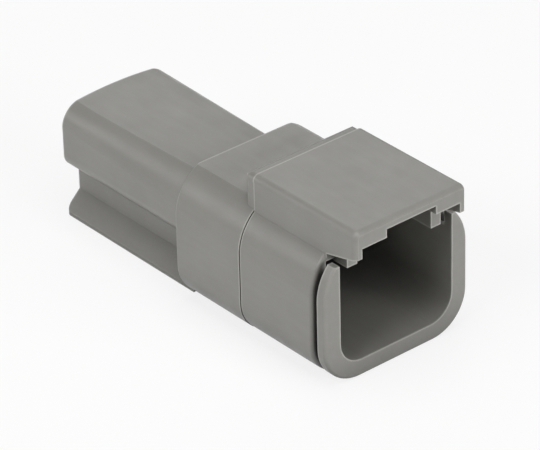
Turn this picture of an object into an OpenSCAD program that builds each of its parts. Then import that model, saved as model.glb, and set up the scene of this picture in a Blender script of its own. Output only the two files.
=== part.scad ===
// Two-way sealed connector receptacle: one moulded shell with a latch hood, a wire seal,
// two pin contacts and a wedge lock. Millimetres. +X points out of the mouth, +Z is up.
// Lengths along X are counted back from the front face of the lip; module place() then
// puts the origin in the middle of the length, on the centre plane, at the underside.

/* [Shell] */
// Width of the mating shell
shell_w = 18.4; // [17:0.1:22]
// Height of the shell's flat top
shell_h = 14.7; // [14:0.1:17.6]
// Radius of the two arcs along the upper edges
arc_r = 5.5; // [4.6:0.1:6]
// Height of the two arcs, from the flat sides to the flat top
arc_h = 4.9; // [4.5:0.1:5.1]
// Radius of the two lower corners
low_r = 4.1; // [3.4:0.1:4.9]
// Radius of the mouth's two lower corners
mouth_r = 2.8; // [2.2:0.1:3.1]
// Wall of the mating shell and width of the lip
wall = 1.9; // [1.6:0.05:2.3]
// Length from the lip to the parting line
mate_len = 12.95; // [11:0.05:16]
// Length of the block behind the parting line
block_len = 10; // [8.4:0.1:12]
// Depth of the mating cavity
cavity_d = 19.5; // [16.3:0.1:21]

/* [Lip] */
// Thickness of the lip along the connector
lip_t = 1.1; // [1:0.05:1.5]
// How far the lip's sides stand out past the shell's sides
lip_side = 0.15; // [0.1:0.05:0.25]
// Radius of the lip's two lower corners
lip_low_r = 4.5; // [3.8:0.1:4.9]
// Width of the groove behind the lip
groove_w = 0.95; // [0.7:0.05:1.3]
// Depth of the groove behind the lip
groove_d = 1.15; // [0.9:0.05:1.35]
// Rounding of the lip's outer front edge
edge_r = 0.35; // [0.2:0.05:0.6]
// Rounding of the shell's edge at the groove
shoulder_edge_r = 0.45; // [0.2:0.05:0.6]
// Drop of the two arms' ends below the shell's top
arm_drop = 1.1; // [1:0.1:1.6]
// Clearance between the arms' ends and the hood's side walls
arm_gap = 0.5; // [0.4:0.1:0.8]

/* [Hood] */
// Width of the hood
hood_w = 14.4; // [13:0.1:15]
// Rise of the hood above the shell's top
hood_rise = 3.4; // [3:0.1:4.2]
// Reach of the hood past the lip
hood_reach = 2.25; // [1.9:0.05:2.7]
// Length of the low band behind the hood
band_len = 1.45; // [1.1:0.05:1.8]
// Drop of the low band below the hood's top
band_drop = 0.2; // [0.1:0.05:0.3]
// Step from the low band's sides out to the hood's sides
band_step = 0.12; // [0.05:0.01:0.2]
// Rounding of the low band's edges
band_r = 0.7; // [0.4:0.05:0.9]
// Thickness of the hood's roof
roof_t = 0.95; // [0.8:0.05:1.15]
// Thickness of the hood's thin side walls at the front
cheek_t = 0.85; // [0.7:0.05:1]
// Rounding of the hood's long edges
hood_r = 0.7; // [0.5:0.05:1]
// Rounding of the hood's front edges
nose_r = 0.8; // [0.6:0.05:1.2]
// Drop of the front edges' rounding where it meets the flat front face
nose_drop = 0.35; // [0.25:0.05:0.45]
// Rise of the thin side walls' lower edge, at the front, above the shell's top
cheek_rise = 0.4; // [0.2:0.1:0.8]

/* [Latch channel] */
// Width of the channel between the two key ribs
channel_w = 9.6; // [8.4:0.1:10.4]
// Width of each key rib
rib_w = 1.3; // [1.1:0.05:1.5]
// Depth of the catch bars below the roof
catch_d = 0.95; // [0.8:0.05:1.15]
// Length of the catch bars
catch_len = 1.5; // [1.2:0.05:1.8]
// Width of the gap between the catch bars
catch_gap = 6.4; // [5.4:0.1:7.6]

/* [Rear body] */
// Length of the rear body
rear_len = 21.25; // [18:0.05:25.5]
// Width of the rear body
rear_w = 14.1; // [13.4:0.1:16]
// Height of the rear body
rear_h = 12.85; // [12:0.05:14]
// Rise of the crowned top in the middle of the rear body
crown = 0.2; // [0.1:0.05:0.3]
// Height of the rear body's arcs where it leaves the block
rear_arc_h = 4.55; // [4.2:0.05:4.8]
// Radius of the rear end's upper corners
rear_corner_r = 2.7; // [2.2:0.1:3.2]
// Radius of the shoulder above the clip rail
shoulder_r = 1.6; // [1.2:0.1:1.8]
// Height of the shoulder above the underside
shoulder_h = 5.4; // [5:0.1:5.6]
// Width of the keel between the two rail grooves
keel_w = 10.5; // [9.8:0.1:11]
// Width across the two feet
foot_w = 14.4; // [13.4:0.1:15]
// Height of a foot's outer edge
foot_edge = 0.4; // [0.3:0.05:0.6]
// Height at which a foot leaves the keel
foot_h = 2.3; // [1.9:0.1:2.7]
// Rounding of the feet's rear corners
foot_r = 0.8; // [0.5:0.1:1]

/* [Contacts] */
// Distance between the two contacts
pitch = 4.6; // [4.2:0.1:5.5]
// Height of the contacts
contact_z = 8; // [7.8:0.1:8.4]
// Diameter of the pins
pin_d = 1; // [0.8:0.05:1.2]
// Diameter of the pins' stouter roots
root_d = 1.4; // [1.3:0.05:1.6]
// Diameter of the crimp barrels
barrel_d = 1.9; // [1.6:0.05:2.1]
// Diameter of the locking collars
collar_d = 2.2; // [2:0.05:2.3]
// Depth of the pin tips behind the lip
tip_depth = 8.4; // [8:0.1:10]
// Depth of the barrels' rear ends behind the lip
barrel_end = 31; // [29:0.1:33]
// Clearance round the barrels in their bores
bore_gap = 0.25; // [0.2:0.05:0.35]

/* [Wire seal] */
// Width of the seal pocket
pocket_w = 11; // [10:0.1:11.4]
// Height of the seal pocket
pocket_h = 6.8; // [6:0.1:7.2]
// Depth of the seal pocket
pocket_d = 9.2; // [8:0.1:11]
// Depth of the seal's rear face inside the pocket
seal_inset = 0.5; // [0.3:0.1:1]
// Clearance between the seal's ribs and the pocket
seal_gap = 0.1; // [0.05:0.05:0.2]
// Height of the ribs round the seal
seal_rib = 0.5; // [0.4:0.05:0.6]
// Number of ribs round the seal
seal_ribs = 3; // [2:1:4]
// Diameter of the wire holes
wire_d = 1.9; // [1.6:0.05:2.3]
// Diameter of the wire holes between their sealing lands
wire_relief_d = 2.7; // [2.5:0.1:3]
// Length of each sealing land in a wire hole
land_len = 1.5; // [1.2:0.1:1.8]

/* [Wedge lock] */
// Width of the wedge's plate
wedge_w = 13.2; // [11:0.1:13.6]
// Height of the wedge's plate
wedge_h = 7.4; // [6.8:0.1:7.8]
// Thickness of the wedge's plate
wedge_t = 1.5; // [1.2:0.1:1.8]
// Thickness of the wedge's tongues
tongue_t = 0.8; // [0.7:0.05:0.9]
// Clearance between the wedge and what it slides over
slide_gap = 0.3; // [0.25:0.05:0.4]

/* [Hidden] */
$fn = 64;
past = 1;                                      // how far a cut runs past a face
parting_x = -mate_len;
block_x = parting_x - block_len;
rear_x = block_x - rear_len;
shell_front = -lip_t - groove_w;
side_h = shell_h - arc_h;                      // the flat sides end and the upper arcs start
rear_side_h = rear_h - rear_arc_h;
hood_h = shell_h + hood_rise;
arm_h = shell_h - arm_drop;
block_step = 0.06;                             // the block stands this far proud of the shell
arc_skin = 0.02;                               // the sides cut the rear body's arcs off this deep
line_w = 0.1;                                  // hairline at the parting line
line_d = 0.15;
line_r = 0.25;                                 // softened rear edge of the block
rib_in = channel_w / 2;
rib_out = rib_in + rib_w;
rib_front = -0.3;                              // the key ribs stop just behind the lip's face
cavity_w = shell_w - 2 * wall;
ceiling = shell_h - wall;
corner_lift = 0.45;                            // cavity height beside the key ribs
roof_z = hood_h - roof_t;
channel_end = parting_x + 1.15;                // rear wall of the latch channel
cheek_rear_z = arm_h + arm_gap;
web_x = -cavity_d;
bore_d = barrel_d + 2 * bore_gap;
pocket_x = rear_x + pocket_d;
finger_len = 3;
finger_t = 0.8;
finger_w = 1.5;
collar_len = 1;
collar_x = web_x + finger_len + 0.1;           // rear face of the locking collars
neck_d = 1.5;
wedge_x = collar_x + collar_len + slide_gap;   // rear face of the wedge's plate

// Moves the connector from lip coordinates to its own origin.
module place()
    translate([-(rear_x + hood_reach) / 2, 0, block_step]) children();

// Extrudes a (Y, Z) outline along the connector.
module along_x(x0, x1)
    translate([x0, 0, 0]) rotate([90, 0, 90]) linear_extrude(x1 - x0) children();

// Extrudes an (X, Z) outline across the connector.
module along_y(w)
    translate([0, w / 2, 0]) rotate([90, 0, 0]) linear_extrude(w) children();

module both_sides() {
    children();
    mirror([0, 1, 0]) children();
}

// Rectangle whose corners on its +x side are rounded.
module front_round(x0, x1, y0, y1, r) {
    translate([x0, y0]) square([x1 - x0 - r, y1 - y0]);
    translate([x0, y0 + r]) square([x1 - x0, y1 - y0 - 2 * r]);
    for (y = [y0 + r, y1 - r]) translate([x1 - r, y]) circle(r);
}

// The same, with the rounding cut off by the front face where it has dropped by drop.
module front_roll(x0, x1, y0, y1, r, drop) {
    run = sqrt(r * r - (r - drop) * (r - drop));
    intersection() {
        translate([x0, y0]) square([x1 - x0, y1 - y0]);
        front_round(x0, x1 + r - run, y0, y1, r);
    }
}

// Rectangle standing on y = y0 with rounded upper corners.
module top_round(w, y0, y1, r) {
    translate([-w / 2, y0]) square([w, y1 - y0 - r]);
    translate([-w / 2 + r, y0]) square([w - 2 * r, y1 - y0]);
    for (s = [-1, 1]) translate([s * (w / 2 - r), y1 - r]) circle(r);
}

// Disc along X whose front edge is rounded, and cut off where the rounding has dropped by drop.
module puck(x0, x1, r, edge, drop)
    translate([x0, 0, 0]) rotate([0, 90, 0]) rotate_extrude() intersection() {
        square([r, x1 - x0]);
        mirror([1, -1]) front_roll(0, x1 - x0, -r - 2 * edge, r, edge, drop);
    }

// Outline of the shell: flat sides and underside, large upper arcs cut off by the flat top.
module shell_outline(grow = 0) {
    w = shell_w + 2 * grow;
    r = low_r + grow;
    for (s = [-1, 1]) translate([s * (w / 2 - r), r - grow]) circle(r);
    translate([-w / 2 + r, -grow]) square([w - 2 * r, low_r + grow]);
    translate([-w / 2, low_r]) square([w, side_h - low_r]);
    intersection() {
        translate([-w / 2, side_h]) square([w, shell_h + grow - side_h]);
        union() {
            for (s = [-1, 1]) translate([s * (shell_w / 2 - arc_r), side_h]) circle(arc_r + grow);
            translate([-shell_w / 2 + arc_r, side_h])
                square([shell_w - 2 * arc_r, shell_h + grow - side_h]);
        }
    }
}

// Bar of the shell's outline whose outer front edge is rounded all the way round. It stands
// out past the shell by side at the sides and by base at the underside.
module rounded_bar(x0, x1, edge, side = 0, base = 0, corner = low_r) {
    w = shell_w + 2 * side;
    corner_z = corner - base;
    intersection() {
        union() {
            for (s = [-1, 1])
                translate([0, s * (w / 2 - corner), corner_z]) puck(x0, x1, corner, edge, edge);
            for (s = [-1, 1])
                translate([0, s * (shell_w / 2 - arc_r), side_h]) puck(x0, x1, arc_r + side, edge, edge);
            translate([0, 0, corner_z]) linear_extrude(side_h - corner_z)
                front_round(x0, x1, -w / 2, w / 2, edge);
            along_y(w - 2 * corner) intersection() {
                front_round(x0, x1, -base, 2 * shell_h, edge);
                translate([x0, -base]) square([x1 - x0, corner]);
            }
            translate([x0, -shell_w / 2 + arc_r, side_h])
                cube([x1 - x0, shell_w - 2 * arc_r, shell_h]);
        }
        translate([x0, -shell_w, -base]) cube([x1 - x0, 2 * shell_w, base + shell_h + side]);
    }
}

// The open mouth: straight sides, a flat floor and rounded lower corners, open at the top.
module mouth_outline(top) {
    for (s = [-1, 1]) translate([s * (cavity_w / 2 - mouth_r), wall + mouth_r]) circle(mouth_r);
    translate([-cavity_w / 2 + mouth_r, wall]) square([cavity_w - 2 * mouth_r, 2 * mouth_r]);
    translate([-cavity_w / 2, wall + mouth_r]) square([cavity_w, top - wall - mouth_r]);
}

// Outline of the rear body's straight sides, between the shoulder and the arcs.
module rear_outline() {
    translate([-rear_w / 2, shoulder_h + shoulder_r])
        square([rear_w, rear_side_h - shoulder_h - shoulder_r]);
    translate([-rear_w / 2 + shoulder_r, shoulder_h])
        square([rear_w - 2 * shoulder_r, rear_side_h - shoulder_h]);
    for (s = [-1, 1])
        translate([s * (rear_w / 2 - shoulder_r), shoulder_h + shoulder_r]) circle(shoulder_r);
}

// Keel and flared feet of the rail that a mounting clip slides onto.
module rail_outline() {
    translate([-keel_w / 2, 0]) square([keel_w, shoulder_h + shoulder_r]);
    polygon([
        [-foot_w / 2, 0], [foot_w / 2, 0], [foot_w / 2, foot_edge],
        [keel_w / 2, foot_h], [-keel_w / 2, foot_h], [-foot_w / 2, foot_edge],
    ]);
}

// Slightly crowned top of the rear body.
module crown_outline() {
    half = rear_w / 2 - rear_corner_r;
    crown_r = (half * half + crown * crown) / (2 * crown);
    intersection() {
        translate([-rear_w / 2, 0]) square([rear_w, rear_h + crown]);
        translate([0, rear_h + crown - crown_r]) circle(crown_r, $fn = 360);
    }
}

// The long upper arc of one side: a cone that tightens towards the rear end's corner.
module rear_arc() {
    rise = rear_arc_h - rear_corner_r;
    inward = arc_r - rear_corner_r;
    axis = sqrt(rear_len * rear_len + rise * rise + inward * inward);
    lean = asin(inward / axis);                // at this half-angle the cone runs along the side
    reach = arc_r;                             // both ends run on past the rear body
    translate([block_x, rear_w / 2 - arc_r, rear_side_h])
        rotate([0, -acos(rise / axis), -atan(inward / rear_len)])
            translate([0, 0, -reach]) cylinder(
                h = axis + 2 * reach,
                r1 = (arc_r + arc_skin) / cos(lean) + tan(lean) * reach,
                r2 = (rear_corner_r + arc_skin) / cos(lean) - tan(lean) * reach
            );
}

// Upper part of the rear body: long arcs at the block, tighter corners at the rear end.
module rear_top() {
    side_end = rear_h - rear_corner_r;
    core_end = rear_w / 2 - rear_corner_r;
    core = rear_w / 2 - arc_r;
    intersection() {
        along_x(rear_x, block_x) crown_outline();
        union() {
            both_sides() rear_arc();
            linear_extrude(rear_h + crown) polygon([
                [block_x, -core], [rear_x, -core_end], [rear_x, core_end], [block_x, core],
            ]);
            along_y(rear_w) polygon([
                [block_x, shoulder_h + shoulder_r], [rear_x, shoulder_h + shoulder_r],
                [rear_x, side_end], [block_x, rear_side_h],
            ]);
        }
        translate([rear_x, -rear_w / 2, shoulder_h + shoulder_r])
            cube([rear_len, rear_w, rear_h]);
    }
}

module rear_body() {
    along_x(rear_x, block_x) rear_outline();
    rear_top();
    intersection() {
        along_x(rear_x, block_x) rail_outline();
        linear_extrude(rear_h) mirror([1, 0])
            front_round(-block_x, -rear_x, -foot_w / 2, foot_w / 2, foot_r);
    }
}

// Roof and cheeks over the latch channel, with every outer edge rounded.
module hood_block() {
    deep = side_h + 1;
    core = hood_w - 2 * hood_r;
    intersection() {
        union() {
            along_y(core) intersection() {
                front_roll(parting_x, hood_reach, -hood_h, hood_h, nose_r, nose_drop);
                translate([parting_x, deep]) square([hood_reach - parting_x, hood_h]);
            }
            translate([0, 0, deep]) linear_extrude(hood_h - hood_r - deep)
                front_roll(parting_x, hood_reach, -hood_w / 2, hood_w / 2, nose_r, nose_drop);
            for (s = [-1, 1]) translate([0, s * core / 2, hood_h - hood_r])
                puck(parting_x, hood_reach, hood_r, nose_r, nose_drop);
        }
        along_y(hood_w) polygon([
            [parting_x, deep], [shell_front, deep], [shell_front, cheek_rear_z],
            [hood_reach, shell_h + cheek_rise], [hood_reach, hood_h], [parting_x, hood_h],
        ]);
    }
    // key ribs: they hang below the cheeks and run back along the channel
    both_sides()
        translate([parting_x, rib_in, ceiling]) cube([rib_front - parting_x, rib_w, roof_z - ceiling]);
}

// The low band behind the hood, rounded towards the rear.
module hood_band() {
    top = hood_h - band_drop;
    w = hood_w - 2 * band_step;
    x0 = -parting_x - past;
    x1 = -parting_x + band_len;
    rotate([0, 0, 180]) intersection() {
        along_x(x0, x1) top_round(w, side_h + 1, top, band_r);
        along_y(w) front_round(x0, x1, side_h, top, band_r);
        linear_extrude(hood_h) front_round(x0, x1, -w / 2, w / 2, band_r);
    }
}

// Hairline round the parting line: over the shell's arcs and up the hood's sides.
module hairline()
    along_x(parting_x, parting_x + line_w) difference() {
        translate([-shell_w, -past]) square([2 * shell_w, hood_h - hood_r + past]);
        shell_outline(-line_d);
        translate([-hood_w / 2 + line_d, side_h]) square([hood_w - 2 * line_d, hood_rise + arc_h]);
    }

// Space that the mating plug and its latch move in.
module mating_space() {
    along_x(web_x, shell_front + past) {
        mouth_outline(ceiling);
        both_corners = cavity_w / 2 - rib_out;
        for (s = [-1, 1])
            translate([s > 0 ? rib_out : -cavity_w / 2, ceiling - past])
                square([both_corners, corner_lift + past]);
    }
    along_x(shell_front, hood_reach + past) mouth_outline(ceiling);
    along_x(channel_end, 0)
        translate([-rib_in, ceiling - past]) square([channel_w, roof_z - ceiling + past]);
}

// Relief in front of the key ribs, with the two catch bars left standing at its mouth.
module front_relief() {
    w = hood_w - 2 * cheek_t;
    difference() {
        translate([rib_front, -w / 2, ceiling - past])
            cube([hood_reach - rib_front + past, w, roof_z - ceiling + past]);
        both_sides()
            translate([hood_reach - catch_len, catch_gap / 2, roof_z - catch_d])
                cube([catch_len + 2 * past, w, catch_d + past]);
    }
}

// Lip: a frame of the shell's outline, open at the top, its arms free of the hood.
module lip()
    difference() {
        rounded_bar(-lip_t, 0, edge_r, lip_side, block_step, lip_low_r);
        along_x(-lip_t - past, past) mouth_outline(shell_h + past);
        translate([-lip_t - past, -shell_w, arm_h]) cube([lip_t + 2 * past, 2 * shell_w, shell_h]);
    }

// Neck at the bottom of the groove, which carries the lip.
module lip_neck()
    difference() {
        along_x(shell_front - past, -lip_t / 2) intersection() {
            shell_outline(-groove_d);
            translate([-shell_w, -past]) square([2 * shell_w, arm_h - 0.4]);
        }
        along_x(shell_front - 2 * past, past) mouth_outline(shell_h + past);
    }

// Half-round cradles and the locking fingers that snap in behind the contacts' collars.
module contact_lock() {
    difference() {
        translate([web_x - past, -pitch / 2 - bore_d, contact_z - bore_d])
            cube([finger_len + past - 0.4, pitch + 2 * bore_d, bore_d]);
        contact_bores(web_x + finger_len + past);
    }
    for (y = [-pitch / 2, pitch / 2])
        translate([web_x - past, y - finger_w / 2, contact_z + bore_d / 2]) {
            cube([finger_len + past, finger_w, finger_t]);
            translate([finger_len + past - 0.9, 0, -(bore_d - neck_d) / 2 + 0.15])
                cube([0.9, finger_w, bore_d - neck_d]);
        }
}

module contact_bores(x1)
    for (y = [-pitch / 2, pitch / 2])
        translate([pocket_x - past, y, contact_z]) rotate([0, 90, 0])
            cylinder(h = x1 - pocket_x + past, d = bore_d);

// Stadium outline of the seal and its pocket, w wide and h high.
module stadium(w, h) {
    translate([-(w - h) / 2, contact_z - h / 2]) square([w - h, h]);
    for (s = [-1, 1]) translate([s * (w - h) / 2, contact_z]) circle(h / 2);
}

module shell()
    color([0.55, 0.55, 0.52]) place() {
        difference() {
            union() {
                rounded_bar(parting_x, shell_front, shoulder_edge_r);
                mirror([1, 0, 0])
                    rounded_bar(-parting_x, -block_x, line_r, block_step, block_step, low_r + block_step);
                rear_body();
                hood_block();
                hood_band();
            }
            mating_space();
            front_relief();
            contact_bores(web_x + past);
            along_x(rear_x - past, pocket_x) stadium(pocket_w, pocket_h);
            hairline();
        }
        lip();
        lip_neck();
        contact_lock();
    }

// Half section of the seal from its middle line outwards, ribs included.
module seal_section(reach, len) {
    core = reach - seal_rib;
    step = len / seal_ribs;
    square([core, len]);
    for (i = [0 : seal_ribs - 1])
        translate([core, (i + 0.5) * step]) intersection() {
            circle(seal_rib);
            translate([0, -seal_rib]) square([seal_rib, 2 * seal_rib]);
        }
}

// Wire hole with sealing lands that grip the wire's insulation.
module wire_hole(len) {
    cylinder(h = len + 2 * past, d = wire_d, center = true);
    relief = (len - 3 * land_len) / 2;
    for (s = [-1, 1])
        translate([0, 0, s * (land_len + relief) / 2])
            cylinder(h = relief, d = wire_relief_d, center = true);
}

module wire_seal() {
    len = pocket_d - seal_inset;
    reach = pocket_h / 2 - seal_gap;
    span = pocket_w - pocket_h;
    color([0.72, 0.33, 0.2]) place()
        translate([rear_x + seal_inset, 0, contact_z]) difference() {
            union() {
                for (s = [-1, 1])
                    translate([0, s * span / 2, 0]) rotate([0, 90, 0])
                        rotate_extrude() seal_section(reach, len);
                for (m = [0, 1])
                    mirror([0, 0, m]) translate([0, span / 2, 0]) rotate([90, 0, 0])
                        linear_extrude(span) mirror([1, -1]) seal_section(reach, len);
            }
            for (y = [-pitch / 2, pitch / 2])
                translate([len / 2, y, 0]) rotate([0, 90, 0]) wire_hole(len);
        }
}

// Solid machined contact: pin with a chamfered tip, locking collar, neck and crimp barrel.
module pin_contact(side) {
    tip = 0.6;
    root_x = wedge_x + wedge_t + slide_gap;
    inspection_d = 0.6;
    wire_bore = 0.65 * barrel_d;
    wire_depth = 5;
    neck_x = web_x - 0.5;
    color([0.78, 0.77, 0.74]) place()
        translate([0, side * pitch / 2, contact_z]) difference() {
            union() {
                translate([-tip_depth - tip, 0, 0]) rotate([0, 90, 0])
                    cylinder(h = tip, d1 = pin_d, d2 = pin_d / 2);
                translate([collar_x, 0, 0]) rotate([0, 90, 0])
                    cylinder(h = -tip_depth - tip - collar_x, d = pin_d);
                translate([collar_x, 0, 0]) rotate([0, 90, 0]) cylinder(h = root_x - collar_x, d = root_d);
                translate([collar_x, 0, 0]) rotate([0, 90, 0]) cylinder(h = collar_len, d = collar_d);
                translate([neck_x, 0, 0]) rotate([0, 90, 0]) cylinder(h = collar_x - neck_x, d = neck_d);
                translate([-barrel_end, 0, 0]) rotate([0, 90, 0])
                    cylinder(h = neck_x + barrel_end, d = barrel_d);
            }
            translate([-barrel_end - past, 0, 0]) rotate([0, 90, 0])
                cylinder(h = wire_depth + past, d = wire_bore);
            translate([-barrel_end + wire_depth - 0.6, 0, 0]) cylinder(h = barrel_d, d = inspection_d);
        }
}

module pin_contact_1() pin_contact(-1);
module pin_contact_2() pin_contact(1);

// Wedge lock: a plate over the pins and two tongues that keep the fingers from lifting.
module wedge_lock() {
    x0 = wedge_x;
    r = 1.2;
    finger_top = contact_z + bore_d / 2 + finger_t;
    tongue_w = pitch + finger_w;
    tongue_x = web_x + slide_gap;
    hole_d = root_d + 2 * slide_gap;
    color([0.2, 0.2, 0.19]) place() difference() {
        union() {
            along_x(x0, x0 + wedge_t) intersection() {
                translate([0, contact_z]) {
                    square([wedge_w, wedge_h - 2 * r], center = true);
                    square([wedge_w - 2 * r, wedge_h], center = true);
                    for (sy = [-1, 1], sz = [-1, 1])
                        translate([sy * (wedge_w / 2 - r), sz * (wedge_h / 2 - r)]) circle(r);
                }
            }
            translate([tongue_x, -tongue_w / 2, finger_top + slide_gap])
                cube([x0 - tongue_x + past, tongue_w, tongue_t]);
            translate([tongue_x, -tongue_w / 2, contact_z - bore_d - slide_gap - tongue_t])
                cube([x0 - tongue_x + past, tongue_w, tongue_t]);
        }
        for (y = [-pitch / 2, pitch / 2])
            translate([x0 - past, y, contact_z]) rotate([0, 90, 0])
                cylinder(h = wedge_t + 2 * past, d = hole_d);
    }
}

shell();
wire_seal();
pin_contact_1();
pin_contact_2();
wedge_lock();
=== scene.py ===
"""Looks of the sealed two-way connector receptacle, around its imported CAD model."""
import math

import bpy
from mathutils import Matrix, Vector

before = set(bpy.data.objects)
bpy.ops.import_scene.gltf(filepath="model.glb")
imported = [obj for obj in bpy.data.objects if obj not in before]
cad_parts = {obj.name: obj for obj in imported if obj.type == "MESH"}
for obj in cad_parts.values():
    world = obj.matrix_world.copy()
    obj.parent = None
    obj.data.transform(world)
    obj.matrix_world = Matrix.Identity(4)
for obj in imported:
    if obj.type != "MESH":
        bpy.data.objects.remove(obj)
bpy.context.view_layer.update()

MM = 0.001
WHITE = (1.0, 1.0, 1.0, 1.0)
EDGE_HIGHLIGHT_WIDTH = 0.24 * MM     # reach of the painted highlight along the moulding's outward edges
EDGE_HIGHLIGHT_GAIN = 1.8            # how much the painted highlight brightens the sharpest edge
SHADE_RECESS_DEPTH = 9 * MM      # a surface with walls nearer than this counts as recessed and gets painted shade
RECESS_SHADE_TONE = 0.15         # share of the colour left by the painted shade in the deepest recess
LAMP_TARGET = Vector((0, 0, 0.008))


# ---------------------------------------------------------------- node helpers

class Nodes:
    """A short way to write a material's node tree."""

    def __init__(self, name):
        self.material = bpy.data.materials.new(name)
        self.material.use_nodes = True
        self.tree = self.material.node_tree
        self.tree.nodes.clear()
        self.output = self.add("ShaderNodeOutputMaterial")

    def add(self, kind, inputs=None, **settings):
        node = self.tree.nodes.new(kind)
        for key, value in settings.items():
            setattr(node, key, value)
        for key, value in (inputs or {}).items():
            self.put(node.inputs[key], value)
        return node

    def put(self, socket, value):
        if isinstance(value, bpy.types.NodeSocket):
            self.tree.links.new(value, socket)
        else:
            socket.default_value = value

    def math(self, operation, a, b=0.0, clamp=False):
        node = self.add("ShaderNodeMath", operation=operation, use_clamp=clamp)
        self.put(node.inputs[0], a)
        self.put(node.inputs[1], b)
        return node.outputs[0]

    def multiply(self, first, *others):
        for other in others:
            first = self.math("MULTIPLY", first, other)
        return first

    def remap(self, value, low, high, to_low, to_high):
        node = self.add("ShaderNodeMapRange", {"Value": value, "From Min": low, "From Max": high,
                                               "To Min": to_low, "To Max": to_high})
        return node.outputs["Result"]

    def scaled(self, vector, factors):
        return self.add("ShaderNodeVectorMath", {0: vector, 1: factors}, operation="MULTIPLY").outputs[0]

    def millimetres(self):
        """Object coordinates in millimetres, so that grain has its real size."""
        coords = self.add("ShaderNodeTexCoord").outputs["Object"]
        return self.scaled(coords, (1 / MM,) * 3)

    def noise(self, vector, scale, detail=2.0, roughness=0.5):
        node = self.add("ShaderNodeTexNoise", {"Vector": vector, "Scale": scale, "Detail": detail,
                                               "Roughness": roughness})
        return node.outputs["Fac"]

    def shade(self, colour, amount):
        """Multiplies a fixed colour by a grey value."""
        return self.add("ShaderNodeVectorMath", {0: colour[:3], "Scale": amount},
                        operation="SCALE").outputs[0]

    def occlusion(self, distance, inside=False):
        """1 in the open, less where the surface has others within a distance of it."""
        node = self.add("ShaderNodeAmbientOcclusion", {"Distance": distance}, inside=inside, samples=8)
        return node.outputs["AO"]

    def outer_edges(self, radius):
        """1 along the outward edges of the mesh, within about a radius, and 0 elsewhere."""
        flat_face, sharp_edge = 0.93, 0.6
        return self.remap(self.occlusion(radius, inside=True), flat_face, sharp_edge, 0.0, 1.0)


def linear(r, g, b):
    """An sRGB colour of 0 to 255 as linear values."""
    def one(c):
        c /= 255
        return c / 12.92 if c <= 0.04045 else ((c + 0.055) / 1.055) ** 2.4
    return (one(r), one(g), one(b), 1.0)


# ---------------------------------------------------------------- materials

def moulded_plastic(name, colour, roughness=0.36):
    """Satin glass-filled plastic: cloudy, with faint flow lines and a fine grain, with painted highlights
    along its edges and painted shade in its recesses.
    """
    n = Nodes(name)
    mm = n.millimetres()
    clouds = n.remap(n.noise(mm, 0.25, 3), 0.3, 0.7, 0.97, 1.03)
    flow = n.remap(n.noise(n.scaled(mm, (0.12, 1.0, 1.0)), 1.3, 3), 0.3, 0.7, 0.975, 1.025)
    specks = n.remap(n.noise(mm, 5.0, 2), 0.3, 0.7, 0.985, 1.015)
    # Painted highlight: the colour is made paler along the outward edges, where light would glint.
    edges = n.remap(n.outer_edges(EDGE_HIGHLIGHT_WIDTH), 0.0, 1.0, 1.0, EDGE_HIGHLIGHT_GAIN)
    # Painted shade: the colour is darkened where walls close round the surface, as in the cavity and the
    # grooves.
    recess = n.remap(n.occlusion(SHADE_RECESS_DEPTH), 0.15, 0.8, RECESS_SHADE_TONE, 1.0)
    # The tone multiplies the random clouds, flow lines and specks with the painted edge highlight and the
    # painted recess shade.
    tone = n.multiply(clouds, flow, specks, edges, recess)
    grain = n.add("ShaderNodeBump", {"Strength": 0.3, "Distance": 0.01 * MM,
                                     "Height": n.noise(mm, 9.0, 3, 0.6)})
    rough = n.remap(n.noise(mm, 0.6, 3), 0.3, 0.7, roughness - 0.04, roughness + 0.04)
    shader = n.add("ShaderNodeBsdfPrincipled", {
        "Base Color": n.shade(colour, tone), "Roughness": rough, "Normal": grain.outputs[0]})
    n.put(n.output.inputs["Surface"], shader.outputs[0])
    return n.material


def silicone(name, colour):
    """Matte silicone rubber with a faint bloom."""
    n = Nodes(name)
    mm = n.millimetres()
    tone = n.remap(n.noise(mm, 1.1, 4), 0.3, 0.7, 0.92, 1.08)
    bump = n.add("ShaderNodeBump", {"Strength": 0.3, "Distance": 0.02 * MM, "Height": n.noise(mm, 6.0, 3)})
    shader = n.add("ShaderNodeBsdfPrincipled", {
        "Base Color": n.shade(colour, tone), "Roughness": 0.6, "Sheen Weight": 0.15,
        "Normal": bump.outputs[0]})
    n.put(n.output.inputs["Surface"], shader.outputs[0])
    return n.material


def plated_metal(name, colour):
    """Plated contact metal with fine turning marks round its axis."""
    n = Nodes(name)
    mm = n.millimetres()
    along = n.add("ShaderNodeSeparateXYZ", {0: mm}).outputs["X"]
    rings = n.add("ShaderNodeTexNoise", {"W": along, "Scale": 14.0, "Detail": 3.0},
                  noise_dimensions="1D").outputs["Fac"]
    bump = n.add("ShaderNodeBump", {"Strength": 0.4, "Distance": 0.01 * MM, "Height": rings})
    tone = n.remap(n.noise(mm, 1.5, 3), 0.3, 0.7, 0.93, 1.04)
    shader = n.add("ShaderNodeBsdfPrincipled", {
        "Base Color": n.shade(colour, tone), "Metallic": 1.0,
        "Roughness": n.remap(rings, 0.3, 0.7, 0.22, 0.36), "Normal": bump.outputs[0]})
    n.put(n.output.inputs["Surface"], shader.outputs[0])
    return n.material


def finish(node, material):
    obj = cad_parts[node]
    obj.data.materials.clear()
    obj.data.materials.append(material)


finish("shell", moulded_plastic("grey_plastic", linear(134, 133, 128)))
# The wedge lock's dark grey is partly its own colour and partly painted shade for the deep cavity behind
# the mouth.
finish("wedge_lock", moulded_plastic("dark_plastic_cavity_shade", linear(52, 52, 50), 0.38))
finish("wire_seal", silicone("seal_silicone", linear(178, 84, 58)))
contact_metal = plated_metal("contact_metal", linear(200, 197, 190))
for name in ("pin_contact_1", "pin_contact_2"):
    finish(name, contact_metal)


# ---------------------------------------------------------------- floor, light, camera

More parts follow.
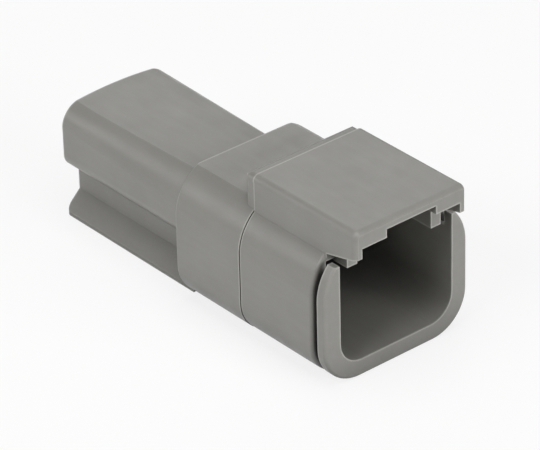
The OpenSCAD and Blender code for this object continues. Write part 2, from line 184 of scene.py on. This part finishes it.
def seen_rays(n):
    """1 for rays from the camera, or in a reflection or through glass, and 0 for light itself."""
    path = n.add("ShaderNodeLightPath").outputs
    seen = n.math("ADD", path["Is Camera Ray"], path["Is Glossy Ray"])
    return n.math("ADD", seen, path["Is Transmission Ray"], clamp=True)


def pale_floor(white_share=0.8):
    """White floor: it shows the object's shadow, and reads as a white ground."""
    bpy.ops.mesh.primitive_plane_add(size=4.0, location=(0, 0, 0))
    floor = bpy.context.object
    floor.name = "floor"
    n = Nodes("floor_white")
    matte = n.add("ShaderNodeBsdfDiffuse", {"Color": (0.86, 0.86, 0.86, 1)})
    glow = n.add("ShaderNodeEmission", {"Color": WHITE, "Strength": 1.0})
    mix = n.add("ShaderNodeMixShader", {0: n.math("MULTIPLY", seen_rays(n), white_share),
                                        1: matte.outputs[0], 2: glow.outputs[0]})
    n.put(n.output.inputs["Surface"], mix.outputs[0])
    floor.data.materials.append(n.material)


def softbox(name, azimuth, elevation, distance, size, power):
    """A rectangular lamp that faces the object from a direction. Azimuth 0 is +X, 90 is +Y."""
    a, e = math.radians(azimuth), math.radians(elevation)
    aim = Vector((math.cos(e) * math.cos(a), math.cos(e) * math.sin(a), math.sin(e)))
    data = bpy.data.lights.new(name, "AREA")
    data.shape = "RECTANGLE"
    data.size, data.size_y = size
    data.energy = power
    lamp = bpy.data.objects.new(name, data)
    lamp.location = LAMP_TARGET + distance * aim
    lamp.rotation_euler = (-aim).to_track_quat("-Z", "Y").to_euler()
    bpy.context.scene.collection.objects.link(lamp)


def world_light(strength):
    world = bpy.data.worlds.new("studio")
    bpy.context.scene.world = world
    world.use_nodes = True
    background = world.node_tree.nodes["Background"]
    background.inputs["Color"].default_value = WHITE
    background.inputs["Strength"].default_value = strength


def camera(azimuth, elevation, roll, location, lens):
    """A camera that looks along the given angles, in degrees. Azimuth 0 looks along +Y."""
    a, e, r = (math.radians(v) for v in (azimuth, elevation, roll))
    right = Vector((math.cos(a), math.sin(a), 0))
    up = Vector((-math.sin(e) * math.sin(a), math.sin(e) * math.cos(a), math.cos(e)))
    back = Vector((math.sin(a) * math.cos(e), -math.cos(a) * math.cos(e), math.sin(e)))
    turned_right = right * math.cos(r) + up * math.sin(r)
    turned_up = up * math.cos(r) - right * math.sin(r)
    data = bpy.data.cameras.new("camera")
    data.lens = lens
    data.clip_start = 0.01
    data.clip_end = 10
    cam = bpy.data.objects.new("camera", data)
    rotation = Matrix((turned_right, turned_up, back)).transposed().to_4x4()
    cam.matrix_world = Matrix.Translation(location) @ rotation
    bpy.context.scene.collection.objects.link(cam)
    bpy.context.scene.camera = cam


pale_floor()
world_light(0.02)
softbox("overhead", 0, 88, 0.7, (0.50, 0.50), 2.2)
softbox("rear_left", 226, 20, 0.6, (0.45, 0.20), 0.6)
softbox("front_high", 0, 58, 0.7, (0.40, 0.25), 0.6)
softbox("front_low", 10, 18, 0.7, (0.40, 0.20), 2.5)
softbox("left", 275, 40, 0.7, (0.40, 0.30), 1.9)
softbox("rear_right", 140, 31, 0.7, (0.40, 0.30), 0.55)
camera(50.51, 31.15, -1.51, Vector((262.575, -214.92, 211.06)) * MM, 260.0)

scene = bpy.context.scene
scene.view_settings.view_transform = "Standard"
